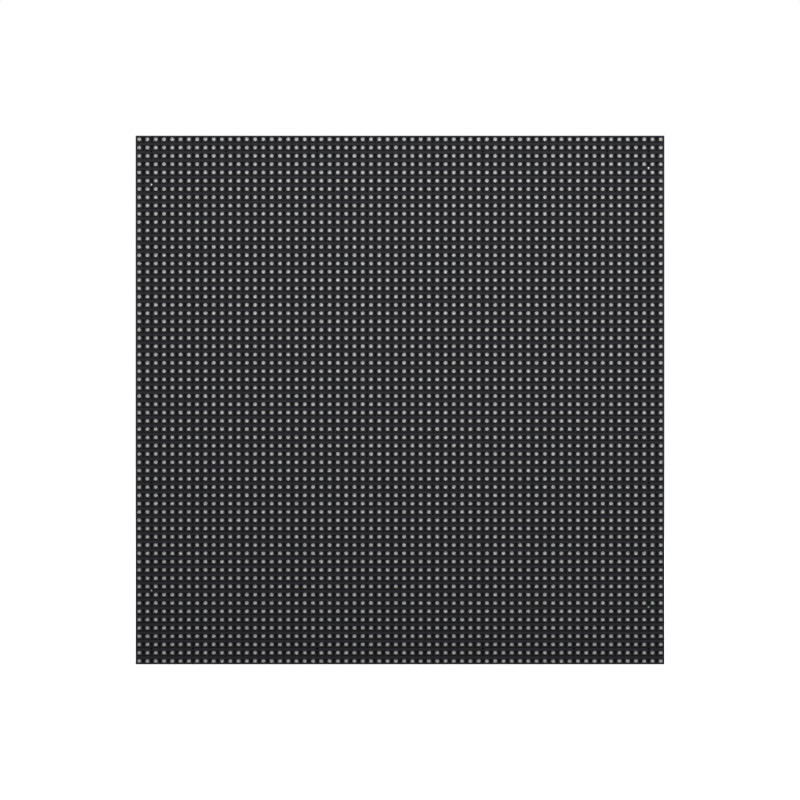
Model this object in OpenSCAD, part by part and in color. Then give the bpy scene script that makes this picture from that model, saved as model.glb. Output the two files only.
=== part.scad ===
// Full-colour dot matrix display panel: a louvred front mask over a board of lamps, with the driver
// electronics on the back of the board and a ribbed rear frame that takes the fixing screws.
// Upright, +Z up, display face towards -Y. The origin is the middle of the rear face. Millimetres.

/* [Dot grid] */
// Distance from one dot to the next, across and down
dot_pitch = 3; // [2.9:0.05:3.3]
// Dots in a row, and as many in a column
dot_count = 64; // [60:2:64]
// Part of the half pitch left free at each edge, so that panels can stand side by side
edge_gap = 0.3; // [0.26:0.01:0.34]

/* [Lamps] */
// Side of a lamp's square housing
lamp_side = 2; // [1.9:0.05:2.05]
// Diameter of a lamp's round cup, which the clear resin fills
cup_d = 1.45; // [1.3:0.05:1.6]
// Height of a lamp above the board
lamp_h = 1; // [0.8:0.1:1.3]

/* [Front mask] */
// Space round a lamp's housing in its window
window_gap = 0.05; // [0.03:0.01:0.08]
// Height of the slats above the board
mask_t = 2; // [1.7:0.1:2.6]
// Height of the low webs between the lamps of a row
web_t = 0.45; // [0.35:0.05:0.6]
// Thickness of a slat at its root, above each row of lamps
slat_w = 0.65; // [0.5:0.05:0.75]
// How far a slat's front reaches down over the row of lamps below it
visor = 0.35; // [0.2:0.05:0.4]
// Diameter of the small bosses at the screws and locating pins
boss_d = 1.2; // [1.1:0.02:1.24]
// Diameter of the hole through such a boss
core_d = 0.8; // [0.75:0.05:0.9]

/* [Circuit board] */
// Thickness of the board
board_t = 1.6; // [1.2:0.1:2]
// Distance from the mask's edge in to the board's edge
board_inset = 0.1; // [0.05:0.05:0.5]
// Diameter of the holes for the screws in the board and in the frame's floor
screw_hole_d = 1.2; // [1.1:0.1:1.5]

/* [Rear frame] */
// Depth of the frame behind the board
frame_depth = 11; // [10.5:0.5:14]
// Distance from the mask's edge in to the frame's outer face
frame_inset = 0.25; // [0.1:0.05:0.8]
// Thickness of the outer wall
outer_wall = 1.6; // [1.2:0.1:2]
// Thickness of the walls round the windows
inner_wall = 1.4; // [1:0.1:1.8]
// Thickness of the floor that lies on the board
floor_t = 1.5; // [1.2:0.1:2]
// Width of the two upright bars and of the cross bar
bar_w = 10; // [9:0.5:12]
// Dots from the middle of the panel to the middle of an upright bar
bar_dots = 10; // [9:1:11]
// Dots from the panel's edge in to the outer line of screws
rim_dots = 2; // [2:1:3]
// Radius in the corners of the windows
window_r = 3; // [1:0.5:5]
// Thickness of the cross ribs
rib_t = 1; // [0.8:0.1:1.4]
// Dots from one cross rib to the next
rib_dots = 5; // [4:1:6]
// How far the ribs stay below the frame's rear face
rib_drop = 2; // [1:0.5:4]

/* [Threaded inserts] */
// Outside diameter of a brass insert
insert_d = 4.6; // [4:0.1:5]
// Length of an insert
insert_l = 6; // [4:0.5:8]
// Bore of an insert, at the crests of its thread
insert_bore_d = 2.5; // [2.4:0.1:2.6]
// Diameter of the post round an insert
post_d = 9; // [8.6:0.1:9.6]
// Dots from the middle of the panel up to the upper inserts, and down to the lower ones
insert_dots = 25; // [24:1:26]

/* [Frame screws] */
// Core diameter of a screw's shank
shank_d = 0.7; // [0.6:0.05:0.7]
// Diameter of a screw's head
head_d = 2.6; // [2.2:0.1:3]
// Height of a screw's head
head_h = 0.9; // [0.7:0.1:1.2]
// How far a screw's tip stays below the front of the slats
tip_gap = 1.2; // [0.8:0.1:1.4]

/* [Locating pins] */
// Diameter of a pin
pin_d = 0.7; // [0.6:0.05:0.7]
// How far a pin's rounded tip stays below the front of the slats
pin_gap = 0.4; // [0.3:0.1:1]

/* [Chips] */
// Length of a column driver's body
column_l = 8.65; // [8.4:0.05:8.8]
// Width of a column driver's body
column_w = 3.9; // [3.7:0.1:4.1]
// Distance across a column driver from toe to toe
column_span = 6; // [5.8:0.1:6.2]
// Distance between a column driver's leads
column_lead_pitch = 0.635; // [0.6:0.005:0.65]
// Length of a row driver's body
row_l = 9.9; // [9.7:0.1:10.3]
// Width of a row driver's body
row_w = 3.9; // [3.7:0.1:4.1]
// Distance across a row driver from toe to toe
row_span = 6; // [5.8:0.1:6.2]
// Distance between a row driver's leads
row_lead_pitch = 1.27; // [1.2:0.01:1.3]
// Length of a line buffer's body
buffer_l = 6.5; // [6.4:0.1:7]
// Width of a line buffer's body
buffer_w = 4.4; // [4.2:0.1:4.6]
// Distance across a line buffer from toe to toe
buffer_span = 6.4; // [6.2:0.1:6.6]
// Distance between a line buffer's leads
buffer_lead_pitch = 0.65; // [0.6:0.005:0.67]
// Height of a chip's top above the board
chip_h = 1.75; // [1.4:0.05:2]
// Gap between a chip's body and the board
chip_lift = 0.15; // [0.1:0.05:0.25]
// Thickness of a lead
lead_t = 0.2; // [0.15:0.01:0.25]
// Width of a column driver's or line buffer's lead
fine_lead_w = 0.25; // [0.2:0.01:0.3]
// Width of a row driver's lead
wide_lead_w = 0.4; // [0.35:0.01:0.5]
// Length of a lead's foot on the board
lead_foot = 0.45; // [0.35:0.05:0.5]
// Diameter of the dimple at a chip's first lead
dimple_d = 0.8; // [0.6:0.05:0.9]
// Slope of a body's moulded sides, from its widest line to its top
draft = 0.15; // [0.1:0.01:0.2]
// Bare board between the upright bar and the bank of column drivers beside it
bank_gap = 9; // [7:0.5:9]

/* [Data headers] */
// Contacts in each of the two rows of a data header
header_contacts = 8; // [6:1:8]
// Distance between the contacts, and between the two rows
contact_pitch = 2.54; // [2.5:0.01:2.6]
// Length of the shroud beyond its first and last contact, both ends together
header_extra = 10.1; // [9:0.1:11]
// Width of the shroud
header_w = 8.9; // [8.6:0.1:9.4]
// Height of the shroud's rim above the board
header_h = 9; // [8:0.1:10]
// Thickness of the shroud's walls
header_wall = 1.2; // [1:0.1:1.4]
// Thickness of the shroud's base
header_base = 2.4; // [2:0.1:3]
// Width of the key slot in the shroud's side
key_w = 4.5; // [4:0.1:5]
// Side of a square contact pin
contact_side = 0.64; // [0.5:0.01:0.7]
// How far the contact's foot reaches out from the side of the shroud
contact_toe = 1.3; // [1:0.1:1.6]
// How far the pins stay below the shroud's rim
contact_drop = 1.2; // [0.8:0.1:2]
// Bare board between the foot of a data header and the frame
header_gap = 3; // [2:0.5:4]

/* [Power header] */
// Distance between the four power pins
power_pitch = 3.96; // [3.9:0.01:4]
// Number of power pins
power_count = 4; // [3:1:4]
// Length of the body beyond its first and last pin, both ends together
power_extra = 7.8; // [7:0.1:9]
// Width of the body
power_w = 8.5; // [8:0.1:9]
// Thickness of the body's base
power_base = 3.4; // [3:0.1:4]
// Height of the locking wall's edge above the board
power_h = 9.8; // [8:0.1:10]
// Thickness of the locking wall
lock_wall = 1.3; // [1:0.1:1.5]
// Width of a slot in the locking wall
lock_slot_w = 3; // [2:0.2:4]
// Height of a slot in the locking wall
lock_slot_h = 1.8; // [1.2:0.2:2.4]
// Side of a square power pin
power_pin_side = 1.14; // [1:0.02:1.3]
// How far the pins stay below the locking wall's edge
power_drop = 0.8; // [0.4:0.1:1.5]

/* [Small parts] */
// Diameter of an electrolytic capacitor's can
can_d = 6.3; // [5:0.1:6.5]
// Height of the can's top above the board
can_h = 7.7; // [5.5:0.1:9]
// Height of the plastic base under the can
can_base = 1.2; // [1:0.1:1.6]
// Length of a ceramic capacitor or resistor
small_l = 1.6; // [1.5:0.1:1.7]
// Width of a ceramic capacitor or resistor
small_w = 0.8; // [0.7:0.05:0.9]
// Height of a ceramic capacitor
ceramic_h = 0.8; // [0.6:0.05:0.9]
// Height of a resistor
resistor_h = 0.45; // [0.35:0.05:0.5]
// Length of a four-way resistor array
array_l = 3.2; // [3:0.1:3.4]
// Width of a four-way resistor array
array_w = 1.6; // [1.5:0.1:1.7]
// Height of a four-way resistor array
array_h = 0.55; // [0.4:0.05:0.6]
// Bare board left between neighbouring parts
part_gap = 1.5; // [1.2:0.1:1.8]

/* [Hidden] */

// Clearance between parts that fit into each other, on the radius or on each side
fit = 0.05;
// How far a cutting tool runs past the face that it cuts
over = 1;
dimple_depth = 0.1;

// Outlines
panel_w = dot_count*dot_pitch - 2*edge_gap;
board_w = panel_w - 2*board_inset;
frame_w = panel_w - 2*frame_inset;
window = lamp_side + 2*window_gap;
field = (dot_count - 1)*dot_pitch + window;
slot_low = window/2 + slat_w - dot_pitch;
visor_h = lamp_h + fit;

// Planes across the depth
board_back = -frame_depth;
board_front = board_back - board_t;
floor_back = board_back + floor_t;

// Rim, bars and windows of the rear frame
rim_x = (dot_count/2 - rim_dots)*dot_pitch;
bar_x = bar_dots*dot_pitch;
rim_w = frame_w - 2*rim_x;
opening_half = frame_w/2 - rim_w;
side_window = [opening_half - bar_x - bar_w/2, 2*opening_half];
middle_window = [2*bar_x - bar_w, opening_half - bar_w/2];
side_window_x = bar_x + bar_w/2 + side_window[0]/2;
middle_window_z = bar_w/2 + middle_window[1]/2;
insert_z = insert_dots*dot_pitch;

// Cross ribs lie halfway between the steps, clear of the screws and inserts
rib_step = rib_dots*dot_pitch;
rib_last = floor((opening_half - rib_t)/rib_step - 0.5);
rib_places = [for (i = [-rib_last - 1 : rib_last]) (i + 0.5)*rib_step];

// Screws: both rims and the upright bars, in dots from the middle of the panel
rim_line = dot_count/2 - rim_dots;
screw_dots = concat(
    [for (side = [-1, 1], x = [-rim_line, -bar_dots, bar_dots, rim_line]) [x, side*rim_line]],
    [for (side = [-1, 1], z = [-bar_dots, bar_dots]) [side*rim_line, z]],
    [for (side = [-1, 1]) [side*bar_dots, 0]],
    [[-21, rim_line], [25, rim_line], [-25, -rim_line], [21, -rim_line]]
);
// Locating pins, placed unevenly so that the mask fits one way only
pin_dots = [[-rim_line, 26], [rim_line, 28], [-rim_line, -23], [rim_line, -25]];
boss_dots = concat(screw_dots, pin_dots);
insert_places = [for (x = [-rim_x, rim_x], z = [-insert_z, 0, insert_z]) [x, z]];

// Chips and the parts that go with them, as [x, z] on the back of the board
header_l = (header_contacts - 1)*contact_pitch + header_extra;
power_l = (power_count - 1)*power_pitch + power_extra;
can_side = can_d + 0.3;
column_body = [column_l, column_w];
row_body = [row_l, row_w];
buffer_body = [buffer_l, buffer_w];
bank_x = bar_x + bar_w/2 + bank_gap + column_span/2;
header_x = opening_half - header_gap - contact_toe - header_w/2;
array_x = header_x - header_w/2 - contact_toe - part_gap - array_w/2;
buffer_x = array_x - array_w/2 - part_gap - buffer_span/2;
buffer_z = part_gap + buffer_body[0]/2 + can_side/2;
side_can_z = buffer_z + buffer_body[0]/2 + part_gap + can_side/2;
power_z = bar_w/2 + 2*part_gap + power_l/2;
middle_x = power_w/2 + contact_toe + 3*part_gap + row_span/2;
banks = 4;
side_step = side_window[1]/(2*banks);
middle_step = middle_window[1]/banks;
side_bank = [for (side = [-1, 1], i = [0 : 2*banks - 1])
    [side*bank_x, (i + 0.5 - banks)*side_step]];
middle_rows = [for (half = [-1, 1], i = [0 : banks - 1]) half*(bar_w/2 + (i + 0.5)*middle_step)];
column_places = concat(side_bank, [for (z = middle_rows) [-middle_x, z]]);
row_places = [for (z = middle_rows) [middle_x, z]];
buffer_places = [for (x = [-buffer_x, buffer_x], z = [-buffer_z, buffer_z]) [x, z]];
can_places = concat(
    [for (x = [-buffer_x, buffer_x], z = [-side_can_z, side_can_z]) [x, z]],
    [[0, power_z + power_l/2 + part_gap + can_side/2], [0, -bar_w/2 - 2*part_gap - can_side/2]]
);
array_step = header_l/5;
array_places = [for (x = [-array_x, array_x], i = [-1.5 : 1.5]) [x, i*array_step]];
small_x = small_l/2 + 0.4;
function above(places, body_l, side) =
    [for (p = places) [p[0] + side*small_x, p[1] + body_l/2 + part_gap]];
ceramic_places = concat(
    above(column_places, column_body[0], -1), above(row_places, row_body[0], -1)
);
resistor_places = above(column_places, column_body[0], 1);

// Draws a flat outline as a plate whose back is at y, t thick towards the display face
module plate(y, t) translate([0, y, 0]) rotate([90, 0, 0]) linear_extrude(t) children();

// Stands a part on the back of the board at each place, its own z axis pointing to the rear
module on_board(places, y = board_back)
    for (p = places) translate([p[0], y, p[1]]) rotate([-90, 0, 0]) children();

module rounded(size, r) {
    square([size[0] - 2*r, size[1]], center = true);
    square([size[0], size[1] - 2*r], center = true);
    for (x = [-1, 1], y = [-1, 1])
        translate([x*(size[0]/2 - r), y*(size[1]/2 - r)]) circle(r, $fn = 24);
}

module at_dots(places) for (p = places) translate([p[0], p[1]]*dot_pitch) children();

// ---- Front mask ----

// A sheet with an upright slot down each column of lamps
module upright_slots() difference() {
    square(panel_w, center = true);
    for (i = [0 : dot_count - 1])
        translate([(i - (dot_count - 1)/2)*dot_pitch - window/2, -field/2]) square([window, field]);
}

// A sheet with a level slot along each row of lamps, from low to high about the row's middle
module level_slots(low, high) difference() {
    square(panel_w, center = true);
    for (i = [0 : dot_count - 1]) {
        row = (i - (dot_count - 1)/2)*dot_pitch;
        start = max(row + low, -field/2);
        translate([-field/2, start]) square([field, row + high - start]);
    }
}

// Low webs run down between the lamps. A slat stands across them above each row, and its front
// reaches down over the row as a visor, so the space below the row is open. Edge and bosses join
// webs and slats; a slit as thin as the fit parts each web from the slat over it.
module front_mask() color("#1c1c1e") difference() {
    union() {
        plate(board_front, web_t - fit) upright_slots();
        plate(board_front - web_t, visor_h - web_t) level_slots(slot_low, window/2);
        plate(board_front - visor_h, mask_t - visor_h) level_slots(slot_low, window/2 - visor);
        plate(board_front, mask_t) difference() {
            square(panel_w, center = true);
            square(field, center = true);
        }
        plate(board_front, mask_t) at_dots(boss_dots) circle(d = boss_d, $fn = 24);
    }
    plate(board_front + over, mask_t + 2*over) at_dots(boss_dots) circle(d = core_d, $fn = 24);
}

// ---- Lamps and board ----

module led_lamps() color("#8f8f90")
    for (row = [0 : dot_count - 1], column = [0 : dot_count - 1])
        translate([column - (dot_count - 1)/2, 0, row - (dot_count - 1)/2]*dot_pitch
            + [0, board_front, 0])
            rotate([90, 0, 0]) cylinder(h = lamp_h, d = cup_d, $fn = 24);

module circuit_board() color("#1d4a31") plate(board_back, board_t) difference() {
    square(board_w, center = true);
    at_dots(screw_dots) circle(d = screw_hole_d, $fn = 24);
}

// Pins with rounded tips, soldered upright to the front of the board
module locating_pins() color("#c29270") for (p = pin_dots)
    translate([p[0]*dot_pitch, board_front, p[1]*dot_pitch]) rotate([90, 0, 0]) {
        h = mask_t - pin_gap;
        r = pin_d/2;
        rotate_extrude($fn = 24) polygon([
            [0, 0], [r, 0], [r, h - r*0.6], [r*0.85, h - r*0.28], [r*0.5, h - r*0.06], [r*0.2, h], [0, h]
        ]);
    }

// ---- Rear frame ----

module windows(grow) {
    for (side = [-1, 1]) {
        translate([side*side_window_x, 0]) rounded(side_window + 2*[grow, grow], window_r + grow);
        translate([0, side*middle_window_z])
            rounded(middle_window + 2*[grow, grow], window_r + grow);
    }
}

module channels() difference() {
    square(frame_w - 2*outer_wall, center = true);
    windows(inner_wall);
    for (p = insert_places) translate(p) circle(d = post_d, $fn = 36);
}

module ribs() for (place = rib_places) {
    for (x = [-rim_x, -bar_x, bar_x, rim_x]) translate([x, place]) square([rim_w, rib_t], center = true);
    for (z = [-rim_x, 0, rim_x]) translate([place, z]) square([rib_t, rim_w], center = true);
}

module rear_frame() color("#232325") difference() {
    plate(0, frame_depth) difference() {
        square(frame_w, center = true);
        windows(0);
    }
    plate(over, over + rib_drop) channels();
    plate(over, over + frame_depth - floor_t) difference() {
        channels();
        ribs();
    }
    on_board(insert_places, -insert_l - fit) cylinder(h = insert_l + over, d = insert_d + 2*fit, $fn = 36);
    on_board(screw_dots*dot_pitch, board_back - over)
        cylinder(h = floor_t + 2*over, d = screw_hole_d, $fn = 24);
}

// Knurled bands with a groove between them
module threaded_inserts() color("#b9953f") on_board(insert_places, 0)
    rotate_extrude($fn = 36) polygon([
        [insert_bore_d/2, 0], [insert_d/2, 0], [insert_d/2, -insert_l*0.42],
        [insert_d/2 - 0.3, -insert_l*0.47], [insert_d/2 - 0.3, -insert_l*0.53],
        [insert_d/2, -insert_l*0.58], [insert_d/2, -insert_l + 0.4],
        [insert_d/2 - 0.3, -insert_l], [insert_bore_d/2, -insert_l]
    ]);

// Pan head on the frame's floor, shank through the board into the mask's boss
module frame_screws() color("#a7a8aa") {
    length = floor_t + board_t + mask_t - tip_gap;
    on_board(screw_dots*dot_pitch, floor_back) difference() {
        rotate_extrude($fn = 24) polygon([
            [0, -length], [shank_d/4, -length], [shank_d/2, -length + shank_d/2], [shank_d/2, 0],
            [head_d/2, 0], [head_d/2, head_h*0.5], [head_d*0.34, head_h], [0, head_h]
        ]);
        for (turn = [0, 90]) rotate(turn)
            translate([0, 0, head_h]) cube([head_d*0.58, head_d*0.12, head_h], center = true);
    }
}

// ---- Chips ----

// Moulded body with drafted sides and a dimple at its first lead
module chip_body(body) {
    h = chip_h - chip_lift;
    difference() {
        translate([0, 0, chip_lift]) intersection() {
            rotate([90, 0, 0]) linear_extrude(body[0], center = true) drafted(body[1], h);
            rotate([90, 0, 90]) linear_extrude(body[1], center = true) drafted(body[0], h);
        }
        translate([-body[1]/2 + dimple_d, -body[0]/2 + dimple_d, chip_h - dimple_depth])
            cylinder(h = over, d = dimple_d, $fn = 24);
    }
}

module drafted(w, h) polygon([
    [-w/2 + draft, 0], [w/2 - draft, 0], [w/2, h/2],
    [w/2 - draft, h], [-w/2 + draft, h], [-w/2, h/2]
]);

// Height of a lead's top where it leaves the body, at the body's widest line
lead_top = chip_lift + (chip_h - chip_lift + lead_t)/2;

// Side view of a gull-wing lead, out of the body and down to a foot on the board
module gull_lead(root, toe) polygon([
    [root, lead_top - lead_t], [root, lead_top], [root + lead_t, lead_top], [toe - lead_foot, lead_t],
    [toe, lead_t], [toe, 0], [toe - lead_foot - lead_t/2, 0], [root + lead_t/2, lead_top - lead_t]
]);

// Side view of a short lead that slopes straight down to its toe
module sloped_lead(root, toe) polygon([
    [root, lead_top - lead_t], [root, lead_top], [toe, 0], [toe - 2*lead_t, 0]
]);

// Repeats a lead's side view down both long sides of a chip
module chip_leads(count, pitch, lead_w)
    for (turn = [0, 180], i = [0 : count/2 - 1])
        rotate(turn) translate([0, (i - (count/2 - 1)/2)*pitch, 0])
            rotate([90, 0, 0]) linear_extrude(lead_w, center = true) children();

module column_drivers() color("#2b2b2d") on_board(column_places) chip_body(column_body);
module row_drivers() color("#2b2b2d") on_board(row_places) chip_body(row_body);
module line_buffers() color("#2b2b2d") on_board(buffer_places) chip_body(buffer_body);

module column_driver_leads() color("#c9c9c6") on_board(column_places)
    chip_leads(24, column_lead_pitch, fine_lead_w) sloped_lead(column_w/2, column_span/2);
module row_driver_leads() color("#c9c9c6") on_board(row_places)
    chip_leads(16, row_lead_pitch, wide_lead_w) gull_lead(row_w/2, row_span/2);
module line_buffer_leads() color("#c9c9c6") on_board(buffer_places)
    chip_leads(20, buffer_lead_pitch, fine_lead_w) gull_lead(buffer_w/2, buffer_span/2);

// ---- Data headers ----

contact_t = contact_side*0.75;

// Shroud standing on the feet of its contacts, with the key slot in the side away from the edge
module data_shroud() difference() {
    translate([-header_w/2, -header_l/2, contact_t]) cube([header_w, header_l, header_h - contact_t]);
    translate([-header_w/2 + header_wall, -header_l/2 + header_wall, contact_t + header_base])
        cube([header_w - 2*header_wall, header_l - 2*header_wall, header_h]);
    translate([-header_w/2 - over, -key_w/2, contact_t + header_base])
        cube([header_wall + 2*over, key_w, header_h]);
    for (side = [-1, 1], i = [0 : header_contacts - 1])
        translate([side*contact_pitch/2, (i - (header_contacts - 1)/2)*contact_pitch, 0])
            cube([contact_side + 2*fit, contact_side + 2*fit, 3*header_base], center = true);
}

// Square pins that turn outwards under the shroud and end in a foot on the board
module data_pins() for (turn = [0, 180], i = [0 : header_contacts - 1])
    rotate(turn) translate([0, (i - (header_contacts - 1)/2)*contact_pitch, 0])
        rotate([90, 0, 0]) linear_extrude(contact_side, center = true) polygon([
            [contact_pitch/2 - contact_side/2, 0], [header_w/2 + contact_toe, 0],
            [header_w/2 + contact_toe, contact_t], [contact_pitch/2 + contact_side/2, contact_t],
            [contact_pitch/2 + contact_side/2, header_h - contact_drop],
            [contact_pitch/2 - contact_side/2, header_h - contact_drop]
        ]);

module input_header() color("#1f1f21") on_board([[header_x, 0]]) data_shroud();
module output_header() color("#1f1f21") on_board([[-header_x, 0]]) rotate(180) data_shroud();
module input_header_pins() color("#c8a450") on_board([[header_x, 0]]) data_pins();
module output_header_pins() color("#c8a450") on_board([[-header_x, 0]]) data_pins();

// ---- Power header ----

power_t = power_pin_side*0.7;

// Base with a tall locking wall on one side
module power_body() difference() {
    union() {
        translate([-power_w/2, -power_l/2, power_t]) cube([power_w, power_l, power_base]);
        translate([-power_w/2, -power_l/2, power_t]) cube([lock_wall, power_l, power_h - power_t]);
    }
    for (side = [-1, 1])
        translate([-power_w/2 - over, side*power_l/4 - lock_slot_w/2, (power_t + power_base + power_h)/2])
            cube([lock_wall + 2*over, lock_slot_w, lock_slot_h]);
    for (i = [0 : power_count - 1])
        translate([0, (i - (power_count - 1)/2)*power_pitch, 0])
            cube([power_pin_side + 2*fit, power_pin_side + 2*fit, 3*power_base], center = true);
}

module power_header() color("#e6e2d4") on_board([[0, power_z]]) power_body();

module power_header_pins() color("#c9c9c6") on_board([[0, power_z]])
    for (i = [0 : power_count - 1])
        translate([0, (i - (power_count - 1)/2)*power_pitch, 0]) rotate(i % 2 == 0 ? 0 : 180)
            rotate([90, 0, 0]) linear_extrude(power_pin_side, center = true) polygon([
                [-power_pin_side/2, 0], [power_w/2 + contact_toe, 0], [power_w/2 + contact_toe, power_t],
                [power_pin_side/2, power_t], [power_pin_side/2, power_h - power_drop],
                [-power_pin_side/2, power_h - power_drop]
            ]);

// ---- Small parts ----

// Can with a rolled bead above its base and a rounded top edge
module capacitor_cans() color("#b4b6b9") on_board(can_places)
    rotate_extrude($fn = 36) polygon([
        [0, can_base], [can_d/2 - 0.4, can_base], [can_d/2 - 0.1, can_base + 0.3],
        [can_d/2 - 0.1, can_base + 0.9], [can_d/2 - 0.5, can_base + 1.2], [can_d/2, can_base + 1.6],
        [can_d/2, can_h - 0.5], [can_d/2 - 0.15, can_h - 0.15], [can_d/2 - 0.5, can_h], [0, can_h]
    ]);

// Plastic base with two corners cut off on the positive side
module capacitor_bases() color("#252527") on_board(can_places) linear_extrude(can_base) polygon([
    [-can_side/2, -can_side/2], [can_side/2, -can_side/2], [can_side/2, can_side/2 - 1.4],
    [can_side/2 - 1.4, can_side/2], [-can_side/2 + 1.4, can_side/2], [-can_side/2, can_side/2 - 1.4]
]);

module capacitor_feet() color("#c9c9c6") on_board(can_places)
    for (side = [-1, 1]) translate([-0.45, side*(can_side/2 + 0.4) - 0.4, 0]) cube([0.9, 0.8, 0.25]);

module block(size) translate([-size[0]/2, -size[1]/2, 0]) cube(size);

module ceramic_capacitors() color("#a68a6d") on_board(ceramic_places) block([small_l, small_w, ceramic_h]);
module bias_resistors() color("#2a2a2c") on_board(resistor_places) block([small_l, small_w, resistor_h]);

// Four resistors in one body, with notches between their end contacts
module resistor_arrays() color("#2a2a2c") on_board(array_places) rotate(90) difference() {
    block([array_l, array_w, array_h]);
    for (i = [-1 : 1], side = [-1, 1])
        translate([i*array_l/4, side*array_w/2, -over]) cylinder(h = 3*over, d = 0.35, $fn = 24);
}

front_mask();
led_lamps();
circuit_board();
locating_pins();
rear_frame();
threaded_inserts();
frame_screws();
column_drivers();
column_driver_leads();
row_drivers();
row_driver_leads();
line_buffers();
line_buffer_leads();
input_header();
output_header();
input_header_pins();
output_header_pins();
power_header();
power_header_pins();
capacitor_cans();
capacitor_bases();
capacitor_feet();
ceramic_capacitors();
bias_resistors();
resistor_arrays();
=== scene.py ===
import math

import bpy
import numpy as np
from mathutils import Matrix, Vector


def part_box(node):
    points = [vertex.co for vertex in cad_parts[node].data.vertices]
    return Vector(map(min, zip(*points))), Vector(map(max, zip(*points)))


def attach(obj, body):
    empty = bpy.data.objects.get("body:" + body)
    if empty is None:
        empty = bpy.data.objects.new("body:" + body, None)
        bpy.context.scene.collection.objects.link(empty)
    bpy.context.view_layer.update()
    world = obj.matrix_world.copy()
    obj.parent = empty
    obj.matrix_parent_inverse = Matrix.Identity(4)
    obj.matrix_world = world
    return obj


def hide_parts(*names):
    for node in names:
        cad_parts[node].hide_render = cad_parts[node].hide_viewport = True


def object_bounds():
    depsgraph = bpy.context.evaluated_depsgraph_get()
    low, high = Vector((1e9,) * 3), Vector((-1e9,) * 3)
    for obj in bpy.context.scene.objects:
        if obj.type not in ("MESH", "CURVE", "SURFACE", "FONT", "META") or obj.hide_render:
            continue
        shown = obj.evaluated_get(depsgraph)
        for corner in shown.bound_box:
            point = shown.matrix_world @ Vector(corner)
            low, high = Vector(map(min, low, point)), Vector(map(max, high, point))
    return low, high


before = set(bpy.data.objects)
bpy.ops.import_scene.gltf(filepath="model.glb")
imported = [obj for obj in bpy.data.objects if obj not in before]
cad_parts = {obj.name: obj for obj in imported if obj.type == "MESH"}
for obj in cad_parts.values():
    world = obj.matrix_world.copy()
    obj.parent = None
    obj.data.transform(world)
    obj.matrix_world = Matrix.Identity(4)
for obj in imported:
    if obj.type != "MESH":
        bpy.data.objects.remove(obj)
cadLow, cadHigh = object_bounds()
mm = 0.001
print("frame loaded,", len(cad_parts), "nodes")


# A shape is (points, [(faces, finish number, smooth), ...])

def outward(shape):
    # Turns the faces of a closed shape outwards: the sum of the signed volumes of all the
    # tetrahedra from the origin to each face's fan of triangles is positive when they are.
    points, faceSets = shape
    volume = 0.0
    for faces, _, _ in faceSets:
        first = points[faces[:, :1]]
        second, third = points[faces[:, 1:-1]], points[faces[:, 2:]]
        volume += np.einsum("ijk,ijk->", np.broadcast_to(first, second.shape), np.cross(second, third))
    if volume > 0:
        return shape
    return points, [(faces[:, ::-1], finish, smooth) for faces, finish, smooth in faceSets]


def lathe(profile, count, finish=0):
    # A profile of (radius, height) turned about +Y: the point at row i and angle a is
    # (radius * cos a, height, radius * sin a), with a flat cap at each end.
    radius, height = np.array(profile, float).T
    angle = np.arange(count) * 2 * math.pi / count
    grid = np.stack([radius[:, None] * np.cos(angle), np.repeat(height[:, None], count, 1),
                     radius[:, None] * np.sin(angle)], -1)
    ring = np.arange(count)
    row = np.arange(len(profile) - 1)[:, None] * count
    following = (ring + 1) % count
    walls = np.stack([row + ring, row + count + ring, row + count + following, row + following], -1)
    caps = np.stack([ring, (ring + (len(profile) - 1) * count)[::-1]])
    return outward((grid.reshape(-1, 3), [(walls.reshape(-1, 4), finish, True), (caps, finish, False)]))


def prism(outline, low, high, finish=0):
    # An outline in (x, z) carried straight along +Y from low to high.
    outline = np.array(outline, float)
    count = len(outline)
    points = np.concatenate([np.insert(outline, 1, low, axis=1), np.insert(outline, 1, high, axis=1)])
    ring = np.arange(count)
    following = (ring + 1) % count
    walls = np.stack([ring, ring + count, following + count, following], -1)
    caps = np.stack([ring, (ring + count)[::-1]])
    return outward((points, [(walls, finish, False), (caps, finish, False)]))


def block(width, depth, low, high, finish=0, taper=0.0):
    # A plate width along X and depth along Z, whose upper face is smaller by the taper all round.
    corner = np.array([[-1, -1], [1, -1], [1, 1], [-1, 1]]) / 2
    shape = prism(corner * [width, depth], low, high, finish)
    if taper:
        upper = shape[0][:, 1] > (low + high) / 2
        shape[0][upper] -= np.sign(shape[0][upper]) * [taper, 0, taper]
    return shape


def collar(profile, count, ripple=0.0):
    # A closed profile of (radius, height) turned about +Y, like a lathe but with a bore in place of
    # caps. The ripple adds its own length to each radius, by row and angle.
    radius, height = np.array(profile, float).T
    angle = np.arange(count) * 2 * math.pi / count
    reach = radius[:, None] + np.broadcast_to(ripple, (len(radius), count))
    grid = np.stack([reach * np.cos(angle), np.repeat(height[:, None], count, 1), reach * np.sin(angle)], -1)
    ring = np.arange(count)
    row = np.arange(len(profile))[:, None] * count
    after = (np.arange(len(profile)) + 1)[:, None] % len(profile) * count
    following = (ring + 1) % count
    walls = np.stack([row + ring, after + ring, after + following, row + following], -1)
    return outward((grid.reshape(-1, 3), [(walls.reshape(-1, 4), 0, True)]))


def mitred(paths):
    # Steps from a path to its edge, one unit away: at a corner, the sum of the normals n and m of
    # the two runs that meet there over 1 + n.m, which is one unit from both.
    step = np.diff(paths, axis=-2)
    normal = np.stack([-step[..., 1], step[..., 0]], -1)
    normal /= np.linalg.norm(normal, axis=-1)[..., None]
    before = np.concatenate([normal[..., :1, :], normal], -2)
    after = np.concatenate([normal, normal[..., -1:, :]], -2)
    return (before + after) / (1 + (before * after).sum(-1))[..., None]


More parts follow.
